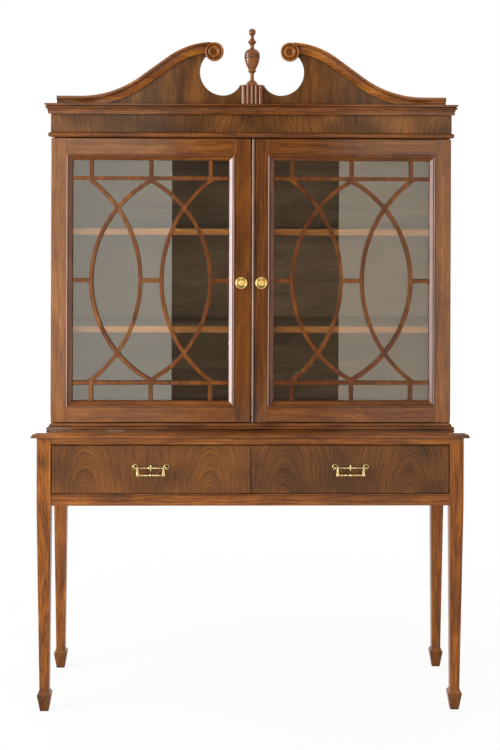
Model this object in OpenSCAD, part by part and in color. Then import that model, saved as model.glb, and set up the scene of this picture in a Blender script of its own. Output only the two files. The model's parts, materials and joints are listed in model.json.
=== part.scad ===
// Glazed display cabinet on a two-drawer stand, in millimetres.
// The origin is on the floor under the middle of the stand. +Z is up, and the front faces -Y.

/* [Stand] */
// Width over the legs
stand_w = 1210; // [1100:10:1300]
// Depth over the legs
stand_d = 420; // [400:10:460]
// Height of the stand, floor to the top surface
stand_h = 790; // [740:10:840]
// Thickness of the stand top
top_t = 16; // [14:1:20]
// How far the stand top stands out past the legs
top_overhang = 15; // [10:1:20]
// Side of the square leg at the rails
leg_t = 40; // [38:1:46]
// Side of the leg at the ankle, above the spade foot
ankle_t = 27; // [24:1:30]
// Side of the spade foot at its widest
spade_t = 40; // [36:1:42]
// Side of the spade foot on the floor
sole_t = 24; // [20:1:28]
// Height of the spade foot's widest line
spade_h = 47; // [40:1:55]
// Depth of the rails and drawers under the top
apron_h = 191; // [180:1:200]
// Height of the front rail above the drawers
rail_over_h = 18; // [16:1:22]
// Height of the front rail below the drawers
rail_under_h = 33; // [28:1:38]

/* [Drawers] */
// Gap round a drawer front
drawer_gap = 2.4; // [2:0.1:3]
// Thickness of a drawer front
drawer_front_t = 20; // [18:1:24]
// Thickness of the drawer sides and back
drawer_side_t = 9; // [8:1:12]
// Height of the drawer sides
drawer_side_h = 118; // [100:1:120]

/* [Cabinet] */
// Width over the sides
case_w = 1144; // [1100:2:1160]
// Depth of the sides, doors left out
case_d = 360; // [340:1:370]
// Height of the sides
case_h = 816; // [780:1:850]
// Thickness of the side, top and bottom boards
board_t = 18; // [16:1:20]
// Thickness of a shelf
shelf_t = 18; // [16:1:20]
// Top of the lower shelf above the stand top
shelf_low = 294; // [270:1:310]
// Top of the upper shelf above the stand top
shelf_high = 576; // [550:1:590]
// Height of the moulded base frame
plinth_h = 21; // [20:1:24]
// Height of the half-round bead over the doors
bead_h = 14; // [12:1:16]
// Height of the frieze
frieze_h = 52; // [48:1:60]
// Height of the cornice
cornice_h = 30; // [28:1:34]

/* [Doors] */
// Thickness of the door frame
door_t = 22; // [20:1:24]
// Gap between the two doors
door_gap = 3; // [2:0.1:3]
// Width of the stile on the hinge side, less its moulding
hinge_stile_w = 44; // [40:1:48]
// Width of the stile where the doors meet, less its moulding
meeting_stile_w = 46; // [44:1:52]
// Height of the top rail, less its moulding
door_top_rail_h = 45.5; // [38:0.5:48]
// Height of the bottom rail, less its moulding
door_low_rail_h = 43.5; // [38:0.5:48]
// Width of the moulding round the glass
sight_w = 17; // [16:0.5:20]
// Width of a glazing bar
bar_w = 11.5; // [10:0.5:13]

/* [Pediment] */
// Height of the level end of the swan neck above the cornice
swan_end_h = 20.7; // [18:0.1:26]
// Radius of the hollow sweep
hollow_r = 290; // [280:5:300]
// Radius of the round sweep
round_r = 225; // [215:5:235]
// Slope of the straight stretch between the sweeps, in degrees
swan_slope = 36; // [34:1:38]
// Length of the straight stretch
swan_straight = 97; // [90:1:110]
// Radius of the rosettes
rosette_r = 27; // [24:1:30]
// Height of the finial
finial_h = 162; // [140:1:180]

/* [Brass] */
// Distance between the posts of a drawer handle
handle_pitch = 88; // [80:1:96]
// Drop of the handle's bail below its pivots
bail_drop = 21.5; // [20:0.5:26]
// Radius of the ring pulls, to the middle of the wire
ring_r = 14.2; // [13:0.1:14.4]

/* [Hidden] */
$fn = 64;

// Colours
walnut = "#7d5131";
walnut_light = "#a06a3c";
walnut_dark = "#6b4529";
drawer_wood = "#b98f5e";
back_stain = "#4d3826";
brass = "#d9bd7a";
pane = "#c9d2cc60";

// Glue lines and clearances
glue_line = 0.1;
slide_gap = 0.4;
pin_gap = 0.05;
over = 60; // cutting shapes reach this far past what they cut

// Stand
leg_x = stand_w / 2 - leg_t / 2;
leg_y = stand_d / 2 - leg_t / 2;
leg_top = stand_h - top_t;
apron_low = leg_top - apron_h;
ankle_h = spade_h + 11;
leg_shift = 2.4; // the foot stands this far in from the leg's middle line
rail_t = 20;
rail_set = 2; // the rails lie this far behind the leg faces
rail_front_y = -stand_d / 2 + rail_set;
rail_back_y = rail_front_y + 22;
leg_inner_x = stand_w / 2 - leg_t;
leg_inner_y = stand_d / 2 - leg_t;
back_rail_y = stand_d / 2 - rail_set - rail_t;
under_rail_top = apron_low + rail_under_h;
over_rail_low = leg_top - rail_over_h;
rail_bead_h = 4;
top_fillet = 2; // small step over the stand top's rounded edge
top_quirk = 1.6; // depth of the groove at the foot of that step
top_relief_w = 14; // the rounded edge overhangs a thinner underside
top_relief_h = 2.4;
ovolo_r = top_t - top_fillet - top_relief_h - 0.8;

// Drawers
drawer_low = under_rail_top + drawer_gap;
drawer_high = over_rail_low - drawer_gap;
drawer_face_y = -stand_d / 2 + 1;
drawer_back_y = drawer_face_y + drawer_front_t;
drawer_in_x = drawer_gap / 2;
drawer_out_x = leg_inner_x - drawer_gap;
divider_t = 18;
side_in_x = divider_t / 2 + 2;
side_out_x = leg_inner_x - 2;
runner_top = drawer_low - slide_gap;
runner_t = 16;
drawer_end_y = back_rail_y - 16;
bottom_t = 6;
bottom_lift = 8; // the drawer bottom sits this far above the sides' lower edge
bottom_low = drawer_low + bottom_lift;

// Cabinet
case_x = case_w / 2;
case_low = stand_h + plinth_h;
case_back_y = 216;
case_front_y = case_back_y - case_d;
case_top = case_low + case_h;
inner_x = case_x - board_t;
back_t = 8;
back_y = case_back_y - 4 - back_t;
hinge_gap = 3; // between the door backs and the cabinet
door_back_y = case_front_y - hinge_gap;
door_face_y = door_back_y - door_t;
plinth_ref_y = door_face_y - 4.5;
plinth_rail_w = 60;
frieze_x = case_x + 1;
frieze_y = door_face_y - 3;
bead_z = case_top;
frieze_z = bead_z + bead_h;
cornice_z = frieze_z + frieze_h;
cornice_top = cornice_z + cornice_h;
frieze_t = 22;
shelf_front_y = case_front_y + 16;
batten = 12;

// Doors
door_low = case_low + 2;
door_high = bead_z - 2.5;
door_out_x = case_x;
door_in_x = door_gap / 2;
glass_out_x = door_out_x - hinge_stile_w - sight_w;
glass_in_x = door_in_x + meeting_stile_w + sight_w;
glass_low = door_low + door_low_rail_h + sight_w;
glass_high = door_high - door_top_rail_h - sight_w;
glass_x = (glass_out_x + glass_in_x) / 2;
glass_z = (glass_low + glass_high) / 2;
glass_t = 3;
glass_depth = 16; // the panes lie this far behind the door faces
glass_front_y = door_face_y + glass_depth;
glass_tuck = 12; // how far the pane reaches behind the moulding
pivot_x = case_x - 7;
pivot_y = door_back_y - 10;
pivot_pin_r = 3;
pivot_pin_h = 8;
socket_r = 5;
pull_x = 28.8;
pull_z = case_low + 401;

// Glazing bars, measured from the middle of the pane
lattice_x = 170.5;
lattice_z = 292.8;
lattice_tip = 286;
inner_bow_x = 30;
bar_proud = 10; // how far the bars stand in front of the glass
bar_shoulder = 8.6; // their edges are worn down to this
bar_flat_w = 9.2;

// Pediment
swan_end_x = 555;
swan_level_x = 489;
swan_end_z = cornice_top + swan_end_h;
hollow_c = [swan_level_x, swan_end_z + hollow_r];
hollow_end = [swan_level_x - hollow_r * sin(swan_slope),
    swan_end_z + hollow_r * (1 - cos(swan_slope))];
round_start = hollow_end + swan_straight * [-cos(swan_slope), sin(swan_slope)];
round_c = round_start - round_r * [sin(swan_slope), cos(swan_slope)];
rosette_x = round_c[0];
rosette_z = round_c[1] + round_r - rosette_r - 0.5;
board_thick = 20;
board_y = frieze_y + 2; // front of the pediment board
swan_stop = 2.6; // the moulding ends this many degrees short of the rosette's middle
scroll_x = 82;
scroll_r = 66.8;
scroll_in_r = 53.3;
scroll_low = cornice_top + 24.8;
block_x = 30;
block_top = cornice_top + 54.5;
shoulder_x = 34;
reeds = 5;
dowel_r = 4;
dowel_h = 12;
finial_drawn_h = 162;

// Brass
handle_x = (drawer_in_x + drawer_out_x) / 2 + 0.8;
handle_z = (drawer_low + drawer_high) / 2 + 7;
handle_out = 12; // pivot line in front of the drawer face
back_bar_out = 2.6;
back_bar_drop = 2.9;
bail_arm_x = 36;
bail_t = 6;
bail_pin_r = 1.6;
post_ball_r = 4.2;
ring_wire_r = 1.9;
ring_out = 3.4;
pull_plate_r = 17.6;
ring_drop = 1.4; // the ring hangs this far below the middle of its plate

// Points of an arc about c, from angle a to angle b
function arc(c, r, a, b, steps = 8) =
    [for (i = [0:steps]) c + r * [cos(a + (b - a) * i / steps), sin(a + (b - a) * i / steps)]];

// Moulding sections: [how far it stands out, height], from the bottom up
function stand_top_edge() = concat([[-top_relief_w, leg_top], [-top_relief_w, leg_top + top_relief_h],
    [-1, leg_top + top_relief_h]],
    arc([-ovolo_r, stand_h - top_fillet - ovolo_r], ovolo_r, 0, 84, 8),
    [[-ovolo_r, stand_h - top_fillet - top_quirk], [-ovolo_r - 1.4, stand_h - top_fillet - top_quirk],
    [-ovolo_r - top_fillet, stand_h]]);
function plinth_edge() = concat([[10.5, stand_h], [10.5, stand_h + 2.6], [8.4, stand_h + 2.8],
    [8.4, stand_h + 4.4]], arc([7.2, stand_h + 8], 3.6, -70, 75, 8),
    [[5, stand_h + 12], [2.4, stand_h + 12.2], [2.4, stand_h + 14.2], [5, stand_h + 14.4]],
    arc([6, stand_h + 18.8], 4.4, 257, 190, 5), [[1.6, stand_h + 18.8], [0, stand_h + 19.4], [0, case_low]]);
function bead_edge() = concat([[0, bead_z]],
    arc([0.2, bead_z + bead_h / 2], bead_h / 2, -90, 90, 12), [[0, frieze_z]]);
function cornice_edge() = concat([[7.4, cornice_z], [8, cornice_z + 9.6]],
    arc([16.6, cornice_z + 10.4], 7.6, 180, 118, 6), arc([12.2, cornice_z + 20], 2.6, -60, 70, 5),
    [[11.6, cornice_z + 22.8], [11.6, cornice_z + 24], [16, cornice_z + 24.2], [16.6, cornice_top]]);
function board_edge(z0, z1) = [[0, z0], [0, z1]];

// Swan-neck moulding: [depth below the upper edge, how far it stands out]
function swan_section() = concat([[0, 0], [0, 18], [5.4, 18], [5.7, 16], [6.7, 16], [7, 17.4],
    [8, 17.2], [8.3, 11.4], [9.7, 11.4], [10, 12.2]], arc([19.5, 19], 11.6, 218, 262, 6),
    [[21, 7], [29, 6.2], [29, 0]]);

// Sight moulding: [distance from the frame's edge, how far it stands in front of the frame]
function sight_section() = concat([[0, -door_t], [0, 0]], arc([2.6, 0], 2.6, 174, 6, 8),
    [[5.2, -2.4], [6.8, -2.4], [7, -1], [sight_w - 1.4, -6.6], [sight_w - 0.4, -7.6], [sight_w, -9],
    [sight_w, -glass_depth], [sight_w - glass_tuck, -glass_depth], [sight_w - glass_tuck, -door_t]]);

// Finial: [radius, height above the block], from the base up, at its drawn height
function finial_outline() = concat([[0, 0]], arc([-2, -5], 20.8, 14, 63, 5),
    [[6.4, 14.6], [5.9, 24], [5.8, 33.6], [9.6, 36.4]], arc([8.8, 41.2], 3.6, -60, 60, 5),
    [[10.6, 45.2], [11.4, 46.4], [14.8, 52], [18.2, 59.5], [21.9, 70.4], [23.4, 76.4],
    [22.4, 77], [22.4, 78], [23.5, 78.6], [23.5, 82], [22.4, 82.6], [22.4, 83.6]],
    arc([4.6, 85], 18.6, 0, 62, 8), [[9, 104], [6, 105.6], [5.4, 110], [5.8, 113.4],
    [8.6, 118.4]], arc([10.2, 122.9], 2.9, -60, 60, 5),
    [[8.6, 128], [5.6, 132.6], [5, 138], [5.4, 141.2]], arc([0, 151.4], 10.6, -50, 90, 12));

// ---- helpers ----

module block(lo, hi) { translate(lo) cube(hi - lo); }

// Flat shape drawn in X and Z, given a thickness from y towards the back
module upright(y, t) { translate([0, y + t, 0]) rotate([90, 0, 0]) linear_extrude(t) children(); }

// Section drawn in Y and Z, run along X between two places
module along_x(x0, x1) { translate([x0, 0, 0]) rotate([90, 0, 90]) linear_extrude(x1 - x0) children(); }

module pin_x(x0, x1, y, z, r) { translate([x0, y, z]) rotate([0, 90, 0]) cylinder(r = r, h = x1 - x0); }

module rod_y(x, z, y0, y1, r) { translate([x, y1, z]) rotate([90, 0, 0]) cylinder(r = r, h = y1 - y0); }

// The right-hand copy of a shape is the left-hand one mirrored across the middle plane
module side(s) { if (s > 0) { children(); } else { mirror([1, 0, 0]) children(); } }

module pair() { for (s = [-1, 1]) side(s) children(); }

// Block whose front and two sides carry a moulded edge, mitred at the corners
module moulded_block(edge, x, front_y, back_y) {
    last = len(edge) - 1;
    intersection() {
        along_x(-x - over, x + over)
            polygon(concat([for (p = edge) [front_y - p[0], p[1]]],
                [[back_y, edge[last][1]], [back_y, edge[0][1]]]));
        upright(front_y - over, back_y - front_y + 2 * over)
            polygon(concat([for (p = edge) [x + p[0], p[1]]],
                [for (i = [last:-1:0]) [-x - edge[i][0], edge[i][1]]]));
    }
}

// Plain member that closes such a frame at the back
module back_member(z0, z1, x, w) {
    block([-x + w + glue_line, case_back_y - w, z0], [x - w - glue_line, case_back_y, z1]);
}

// Front and side members of such a block, w wide, with glued mitres at the front corners
module mitred_members(edge, x, front_y, back_y, w) {
    z0 = edge[0][1] - 1;
    tall = edge[len(edge) - 1][1] - z0 + 1;
    g = glue_line;
    intersection() {
        moulded_block(edge, x, front_y, back_y);
        translate([0, 0, z0]) linear_extrude(tall)
            polygon([[-x - over + g, front_y - over], [x + over - g, front_y - over],
                [x - w - g, front_y + w], [-x + w + g, front_y + w]]);
    }
    pair() intersection() {
        moulded_block(edge, x, front_y, back_y);
        translate([0, 0, z0]) linear_extrude(tall)
            polygon([[x + over, front_y - over], [x + over, back_y],
                [x - w, back_y], [x - w, front_y + w]]);
    }
}

// ---- stand ----

module stand_top() {
    color(walnut_light)
        moulded_block(stand_top_edge(), stand_w / 2 + top_overhang, -stand_d / 2 - top_overhang,
            stand_d / 2 + top_overhang);
}

// Outline of one face of a leg, drawn about the leg's middle line with the outer side to +X
module leg_face() {
    polygon([[leg_t / 2, leg_top], [leg_t / 2, apron_low], [ankle_t / 2 - leg_shift, ankle_h],
        [spade_t / 2 - leg_shift, spade_h], [sole_t / 2 - leg_shift, 0],
        [-sole_t / 2 - leg_shift, 0], [-spade_t / 2 - leg_shift, spade_h],
        [-ankle_t / 2 - leg_shift, ankle_h], [-leg_t / 2, apron_low], [-leg_t / 2, leg_top]]);
}

// Tapered leg with a spade foot at the corner (sx, sy)
module leg(sx, sy) {
    color(walnut_light)
        translate([sx * leg_x, sy * leg_y, 0]) scale([sx, sy, 1])
            intersection() {
                upright(-leg_t, 2 * leg_t) leg_face();
                along_x(-leg_t, leg_t) leg_face();
            }
}

module leg_front_left() leg(-1, -1);
module leg_front_right() leg(1, -1);
module leg_back_left() leg(-1, 1);
module leg_back_right() leg(1, 1);

module stand_side_rail(s) {
    outer = stand_w / 2 - rail_set;
    color(walnut) side(s)
        block([outer - rail_t, -leg_inner_y, apron_low], [outer, leg_inner_y, leg_top]);
}

module stand_side_rail_left() stand_side_rail(-1);
module stand_side_rail_right() stand_side_rail(1);

module stand_back_rail() {
    color(walnut) block([-leg_inner_x, back_rail_y, apron_low],
        [leg_inner_x, back_rail_y + rail_t, leg_top]);
}

module stand_rail_over_drawers() {
    color(walnut_light) block([-leg_inner_x, rail_front_y, over_rail_low],
        [leg_inner_x, rail_back_y, leg_top]);
}

// The rail's upper front edge carries a small bead with a quirk under it
module stand_rail_under_drawers() {
    z = under_rail_top;
    color(walnut_light) along_x(-leg_inner_x, leg_inner_x)
        polygon(concat([[rail_back_y, z], [rail_back_y, apron_low], [rail_front_y, apron_low],
            [rail_front_y, z - rail_bead_h - 1.4], [rail_front_y + 1.6, z - rail_bead_h - 0.8]],
            arc([rail_front_y + 0.4, z - rail_bead_h / 2], rail_bead_h / 2, 270, 90, 8)));
}

module drawer_divider() {
    color(walnut) block([-divider_t / 2, rail_back_y, runner_top],
        [divider_t / 2, back_rail_y, leg_top]);
}

// Bearers, guides, kickers and stops that carry and steer the drawers
module drawer_runners() {
    low = runner_top - runner_t;
    kicker_low = drawer_low + drawer_side_h + slide_gap;
    side_face = stand_w / 2 - rail_set - rail_t;
    color(drawer_wood) {
        block([-divider_t / 2 - drawer_side_t - 12, rail_back_y, low],
            [divider_t / 2 + drawer_side_t + 12, back_rail_y, runner_top]);
        pair() {
            block([side_out_x - drawer_side_t - 8, rail_back_y, low],
                [leg_inner_x - glue_line, back_rail_y, runner_top]);
            block([leg_inner_x, -leg_inner_y, low], [side_face, leg_inner_y, runner_top + 30]);
            block([side_out_x - drawer_side_t - 8, rail_back_y, kicker_low],
                [leg_inner_x - glue_line, back_rail_y, leg_top]);
            block([side_out_x - drawer_side_t, drawer_end_y + glue_line, runner_top + glue_line],
                [side_out_x, back_rail_y, runner_top + 24]);
        }
    }
}

// ---- cabinet ----

module pivot_plate(z, t) {
    block([pivot_x - 30, pivot_y - 6, z], [pivot_x + 6, pivot_y + 6, z + t]);
}

module plinth_moulding() {
    color(walnut_dark) {
        difference() {
            mitred_members(plinth_edge(), case_x, plinth_ref_y, case_back_y, plinth_rail_w);
            pair() pivot_plate(case_low - 2, 4);
        }
        back_member(stand_h, case_low, case_x, plinth_rail_w);
    }
}

module carcase_bottom() {
    color(walnut) block([-inner_x, case_front_y, case_low], [inner_x, back_y, case_low + board_t]);
}

module carcase_side(s) {
    color(walnut) side(s)
        block([inner_x, case_front_y, case_low], [case_x, case_back_y, case_top]);
}

module carcase_side_left() carcase_side(-1);
module carcase_side_right() carcase_side(1);

module carcase_top() {
    color(walnut) block([-inner_x, case_front_y, case_top - board_t], [inner_x, back_y, case_top]);
}

module back_panel() {
    color(back_stain) block([-inner_x, back_y, case_low], [inner_x, back_y + back_t, case_top]);
}

module frieze_bead() {
    color(walnut) {
        difference() {
            mitred_members(bead_edge(), frieze_x, frieze_y, case_back_y, plinth_rail_w);
            pair() pivot_plate(bead_z - 2, 4);
        }
        back_member(bead_z, frieze_z, frieze_x, plinth_rail_w);
    }
}

module frieze() {
    color(walnut) {
        mitred_members(board_edge(frieze_z, cornice_z), frieze_x, frieze_y, case_back_y, frieze_t);
        back_member(frieze_z, cornice_z, frieze_x, frieze_t);
    }
}

module cornice() {
    color(walnut_light)
        mitred_members(cornice_edge(), frieze_x, frieze_y, case_back_y, frieze_t);
}

module shelf(z) {
    color(walnut) block([-inner_x + 0.5, shelf_front_y, z - shelf_t], [inner_x - 0.5, back_y, z]);
}

module shelf_lower() shelf(stand_h + shelf_low);
module shelf_upper() shelf(stand_h + shelf_high);

module shelf_battens() {
    color(walnut_dark) pair() for (h = [shelf_low, shelf_high])
        block([inner_x - batten, shelf_front_y + 8, stand_h + h - shelf_t - batten],
            [inner_x, back_y - 8, stand_h + h - shelf_t]);
}

// Magnet blocks under the cabinet top, reaching to just behind the meeting stiles
module door_catches() {
    color("#4a4640") pair()
        block([14, door_back_y + 0.5, case_top - board_t - 14], [44, case_front_y + 20,
            case_top - board_t]);
}

// Brass plates let into the base and the bead, each with the pin that a door turns on
module door_pivots() {
    color(brass) pair() {
        pivot_plate(case_low - 2, 2);
        translate([pivot_x, pivot_y, case_low - 0.5]) cylinder(r = socket_r, h = 2.3);
        translate([pivot_x, pivot_y, case_low - 1])
            cylinder(r = pivot_pin_r, h = door_low - case_low + 1 + pivot_pin_h);
        pivot_plate(bead_z, 2);
        translate([pivot_x, pivot_y, door_high - pivot_pin_h])
            cylinder(r = pivot_pin_r, h = bead_z - door_high + pivot_pin_h + 1);
    }
}

// ---- pediment ----

// Area under the swan neck's upper edge, on the right-hand side
module swan_area() {
    polygon(concat([[rosette_x, cornice_top], [swan_end_x, cornice_top],
        [swan_end_x, swan_end_z]], arc(hollow_c, hollow_r, 270, 270 - swan_slope, 24),
        arc(round_c, round_r, 90 - swan_slope, 90, 24)));
}

// The right-hand half of the board, with its scroll cut out
module board_half() {
    difference() {
        union() {
            offset_down() swan_area();
            translate([-0.01, cornice_top]) square([rosette_x + 0.01, block_top - cornice_top]);
        }
        intersection() {
            translate([scroll_x, scroll_low + scroll_r]) circle(scroll_r);
            translate([scroll_x, cornice_top]) square([2 * scroll_r, 4 * scroll_r]);
        }
        intersection() {
            translate([scroll_x, scroll_low + scroll_in_r]) circle(scroll_in_r);
            translate([shoulder_x, cornice_top]) square([scroll_x - shoulder_x + 0.01, 4 * scroll_r]);
        }
    }
    translate([rosette_x, rosette_z]) circle(rosette_r - 1);
}

// The board's edge lies just below the top of its moulding
module offset_down() { intersection() { children(); translate([0, -1]) children(); } }

module dowel(y) { translate([0, y, block_top - dowel_h - 0.5]) cylinder(r = dowel_r + pin_gap, h = over); }

module pediment_board() {
    color(walnut_dark) difference() {
        upright(board_y, board_thick) union() {
            board_half();
            mirror([1, 0]) board_half();
        }
        dowel(board_y);
    }
}

// Stations along the swan neck's upper edge: [point, direction into the board]
function swan_stations(n) = concat([[[swan_end_x, swan_end_z], [0, -1]]],
    [for (i = [0:n]) let (a = 270 - swan_slope * i / n, d = [cos(a), sin(a)])
        [hollow_c + hollow_r * d, d]],
    [for (i = [0:n]) let (a = 90 - swan_slope + (swan_slope - swan_stop) * i / n, d = [cos(a), sin(a)])
        [round_c + round_r * d, -d]]);

// Swan-neck moulding: level end, hollow sweep, straight stretch and round sweep in one run
module swan_moulding() {
    section = swan_section();
    stations = swan_stations(24);
    n = len(section);
    last = len(stations) - 1;
    points = [for (q = stations) for (p = section)
        [q[0][0] + q[1][0] * p[0], board_y - p[1], max(q[0][1] + q[1][1] * p[0], cornice_top)]];
    quads = [for (i = [0:last - 1]) for (j = [0:n - 1]) let (k = (j + 1) % n)
        [i * n + j, i * n + k, (i + 1) * n + k, (i + 1) * n + j]];
    faces = concat([for (q = quads) [q[0], q[1], q[2]]], [for (q = quads) [q[0], q[2], q[3]]],
        [[for (j = [n - 1:-1:0]) j]], [[for (j = [0:n - 1]) last * n + j]]);
    difference() {
        polyhedron(points, faces);
        rod_y(rosette_x, rosette_z, board_y - over, board_y + over, rosette_r + 0.2);
    }
}

module pediment_moulding_left() color(walnut_light) side(-1) swan_moulding();
module pediment_moulding_right() color(walnut_light) side(1) swan_moulding();

// Turned rosettes on the scroll ends
module pediment_rosettes() {
    r = rosette_r;
    color(walnut_light) pair() translate([rosette_x, board_y, rosette_z]) rotate([90, 0, 0])
        rotate_extrude() polygon(concat([[0, 0], [r, 0], [r, 15]],
            arc([r - 3.2, 15.5], 3.2, 0, 180, 8), [[r - 8, 14]],
            arc([r - 13.2, 14.5], 4.6, 20, 160, 8), [[7, 14.5], [6.4, 12], [4.2, 12]],
            arc([0, 12], 4, 0, 90, 5)));
}

// Reeded block under the finial
module finial_block() {
    pitch = 2 * block_x / reeds;
    depth = board_y - (frieze_y - 14);
    color(walnut_light) difference() {
        translate([0, 0, cornice_top]) linear_extrude(block_top - cornice_top) union() {
            translate([-block_x, board_y - depth]) square([2 * block_x, depth]);
            for (i = [0:reeds - 1])
                translate([-block_x + pitch * (i + 0.5), board_y - depth]) circle(pitch * 0.36);
        }
        dowel(board_y);
    }
}

module finial() {
    size = finial_h / finial_drawn_h;
    color(walnut_light) translate([0, board_y, block_top]) {
        scale(size) rotate_extrude() polygon(finial_outline());
        translate([0, 0, -dowel_h]) cylinder(r = dowel_r, h = dowel_h + 1);
    }
}

// ---- doors ----

module pivot_socket_space(s) {
    side(s) {
        pivot_plate(door_low, 2);
        translate([pivot_x, pivot_y, door_low]) cylinder(r = socket_r, h = 10);
        pivot_plate(door_high - 2, 2);
        translate([pivot_x, pivot_y, door_high - 10]) cylinder(r = socket_r, h = 10);
    }
}

module hinge_stile(s) {
    color(walnut) difference() {
        side(s) block([door_out_x - hinge_stile_w, door_face_y, door_low],
            [door_out_x, door_back_y, door_high]);
        pivot_socket_space(s);
    }
}

// The right-hand stile also carries the quirked bead that marks the meeting line
module meeting_stile(s) {
    bead_r = 4;
    quirk_w = 1.6;
    quirk_depth = 2.4;
    color(walnut) {
        difference() {
            side(s) block([door_in_x, door_face_y, door_low],
                [door_in_x + meeting_stile_w, door_back_y, door_high]);
            if (s > 0)
                block([door_in_x + bead_r, door_face_y - 1, door_low - 1],
                    [door_in_x + 2 * bead_r + quirk_w, door_face_y + quirk_depth, door_high + 1]);
        }
        if (s > 0)
            translate([door_in_x + bead_r, door_face_y, door_low])
                cylinder(r = bead_r, h = door_high - door_low);
    }
}

module door_rails(s) {
    x0 = door_in_x + meeting_stile_w + glue_line;
    x1 = door_out_x - hinge_stile_w - glue_line;
    color(walnut) side(s) {
        block([x0, door_face_y, door_low], [x1, door_back_y, door_low + door_low_rail_h]);
        block([x0, door_face_y, door_high - door_top_rail_h], [x1, door_back_y, door_high]);
    }
}

// One stick of the sight moulding: length a side of the frame opening, mitred at both ends
module sight_stick(length) {
    half = length / 2 - glue_line;
    intersection() {
        multmatrix([[0, 0, 1, -half], [0, -1, 0, 0], [1, 0, 0, 0], [0, 0, 0, 1]])
            linear_extrude(2 * half) polygon(sight_section());
        translate([0, over, 0]) rotate([90, 0, 0]) linear_extrude(2 * over)
            polygon([[-half, 0], [half, 0], [half - sight_w, sight_w], [-half + sight_w, sight_w]]);
    }
}

module sight_moulding(s) {
    w = glass_out_x - glass_in_x + 2 * sight_w;
    h = glass_high - glass_low + 2 * sight_w;
    color(walnut_dark) side(s) translate([glass_x, door_face_y, glass_z])
        for (turn = [0, 180]) rotate([0, turn, 0]) {
            translate([0, 0, -h / 2]) sight_stick(w);
            translate([-w / 2, 0, 0]) rotate([0, 90, 0]) sight_stick(h);
        }
}

module bar_run(x0, z0, x1, z1, w) {
    length = norm([x1 - x0, z1 - z0]);
    translate([x0, z0]) rotate(atan2(z1 - z0, x1 - x0)) translate([0, -w / 2]) square([length, w]);
}

// Arched bar through the tips (tip_x, +-lattice_tip) and the bow point (bow_x, 0), bowing to -X
module bar_arch(tip_x, bow_x, w) {
    rise = tip_x - bow_x;
    r = (lattice_tip * lattice_tip + rise * rise) / (2 * rise);
    intersection() {
        translate([bow_x + r, 0]) difference() {
            circle(r + w / 2);
            circle(r - w / 2);
        }
        translate([bow_x - w, -lattice_z]) square([rise + 2 * w, 2 * lattice_z]);
    }
}

// Pattern of the interlaced bars of one pane, about its middle, drawn w wide
module lattice(w) {
    half_w = (glass_out_x - glass_in_x) / 2;
    half_h = (glass_high - glass_low) / 2;
    for (e = [-1, 1]) {
        bar_run(-half_w, e * lattice_z, half_w, e * lattice_z, w);
        for (x = [-lattice_x, 0, lattice_x])
            bar_run(x, e * lattice_z, x, e * half_h, w);
        bar_run(e * half_w, 0, e * lattice_x, 0, w);
        mirror([e > 0 ? 1 : 0, 0]) {
            bar_arch(0, -lattice_x, w);
            mirror([1, 0]) bar_arch(lattice_x, inner_bow_x, w);
        }
    }
    bar_run(-inner_bow_x, 0, inner_bow_x, 0, w);
}

// Glazing bars applied to the front of one pane: a flat face between worn shoulders
module glazing_bars(s) {
    color(walnut_dark) side(s) translate([glass_x, 0, glass_z]) {
        upright(glass_front_y - bar_shoulder, bar_shoulder) lattice(bar_w);
        upright(glass_front_y - bar_proud, bar_proud) lattice(bar_flat_w);
    }
}

module glass(s) {
    reach = glass_tuck - 1;
    color(pane) side(s) block([glass_in_x - reach, glass_front_y, glass_low - reach],
        [glass_out_x + reach, glass_front_y + glass_t, glass_high + reach]);
}

module pivot_sockets(s) {
    bore = pivot_pin_r + pin_gap;
    color(brass) difference() {
        pivot_socket_space(s);
        side(s) translate([pivot_x, pivot_y, door_low - 1]) cylinder(r = bore, h = 10);
        side(s) translate([pivot_x, pivot_y, door_high - 9]) cylinder(r = bore, h = 10);
    }
}

// Round back plate with a domed middle and the knuckle that the ring hangs from
module pull_plate(s) {
    knuckle_z = ring_r - ring_drop;
    knuckle_x = 3;
    color(brass) translate([s * pull_x, door_face_y, pull_z]) difference() {
        union() {
            rotate([90, 0, 0]) rotate_extrude() polygon(concat([[0, 0], [pull_plate_r, 0],
                [pull_plate_r, 0.6], [pull_plate_r - 0.8, 1.2], [9.6, 1.2], [9.4, 1.8]],
                arc([0, -8], 13.2, 44, 90, 6)));
            pin_x(-knuckle_x, knuckle_x, -ring_out, knuckle_z, ring_out - 0.2);
        }
        pin_x(-knuckle_x - 1, knuckle_x + 1, -ring_out, knuckle_z, ring_wire_r + 0.6);
    }
}

module pull_ring(s) {
    color(brass) translate([s * pull_x, door_face_y - ring_out, pull_z - ring_drop])
        rotate([90, 0, 0]) rotate_extrude() translate([ring_r, 0]) circle(ring_wire_r);
}

module door_left_hinge_stile() hinge_stile(-1);
module door_left_meeting_stile() meeting_stile(-1);
module door_left_rails() door_rails(-1);
module door_left_sight_moulding() sight_moulding(-1);
module door_left_glazing_bars() glazing_bars(-1);
module door_left_glass() glass(-1);
module door_left_pivot_sockets() pivot_sockets(-1);
module door_left_pull_plate() pull_plate(-1);
module door_left_pull_ring() pull_ring(-1);
module door_right_hinge_stile() hinge_stile(1);
module door_right_meeting_stile() meeting_stile(1);
module door_right_rails() door_rails(1);
module door_right_sight_moulding() sight_moulding(1);
module door_right_glazing_bars() glazing_bars(1);
module door_right_glass() glass(1);
module door_right_pivot_sockets() pivot_sockets(1);
module door_right_pull_plate() pull_plate(1);
module door_right_pull_ring() pull_ring(1);

// ---- drawers ----

module drawer_front(s) {
    color(walnut) side(s) block([drawer_in_x, drawer_face_y, drawer_low],
        [drawer_out_x, drawer_back_y, drawer_high]);
}

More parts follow.
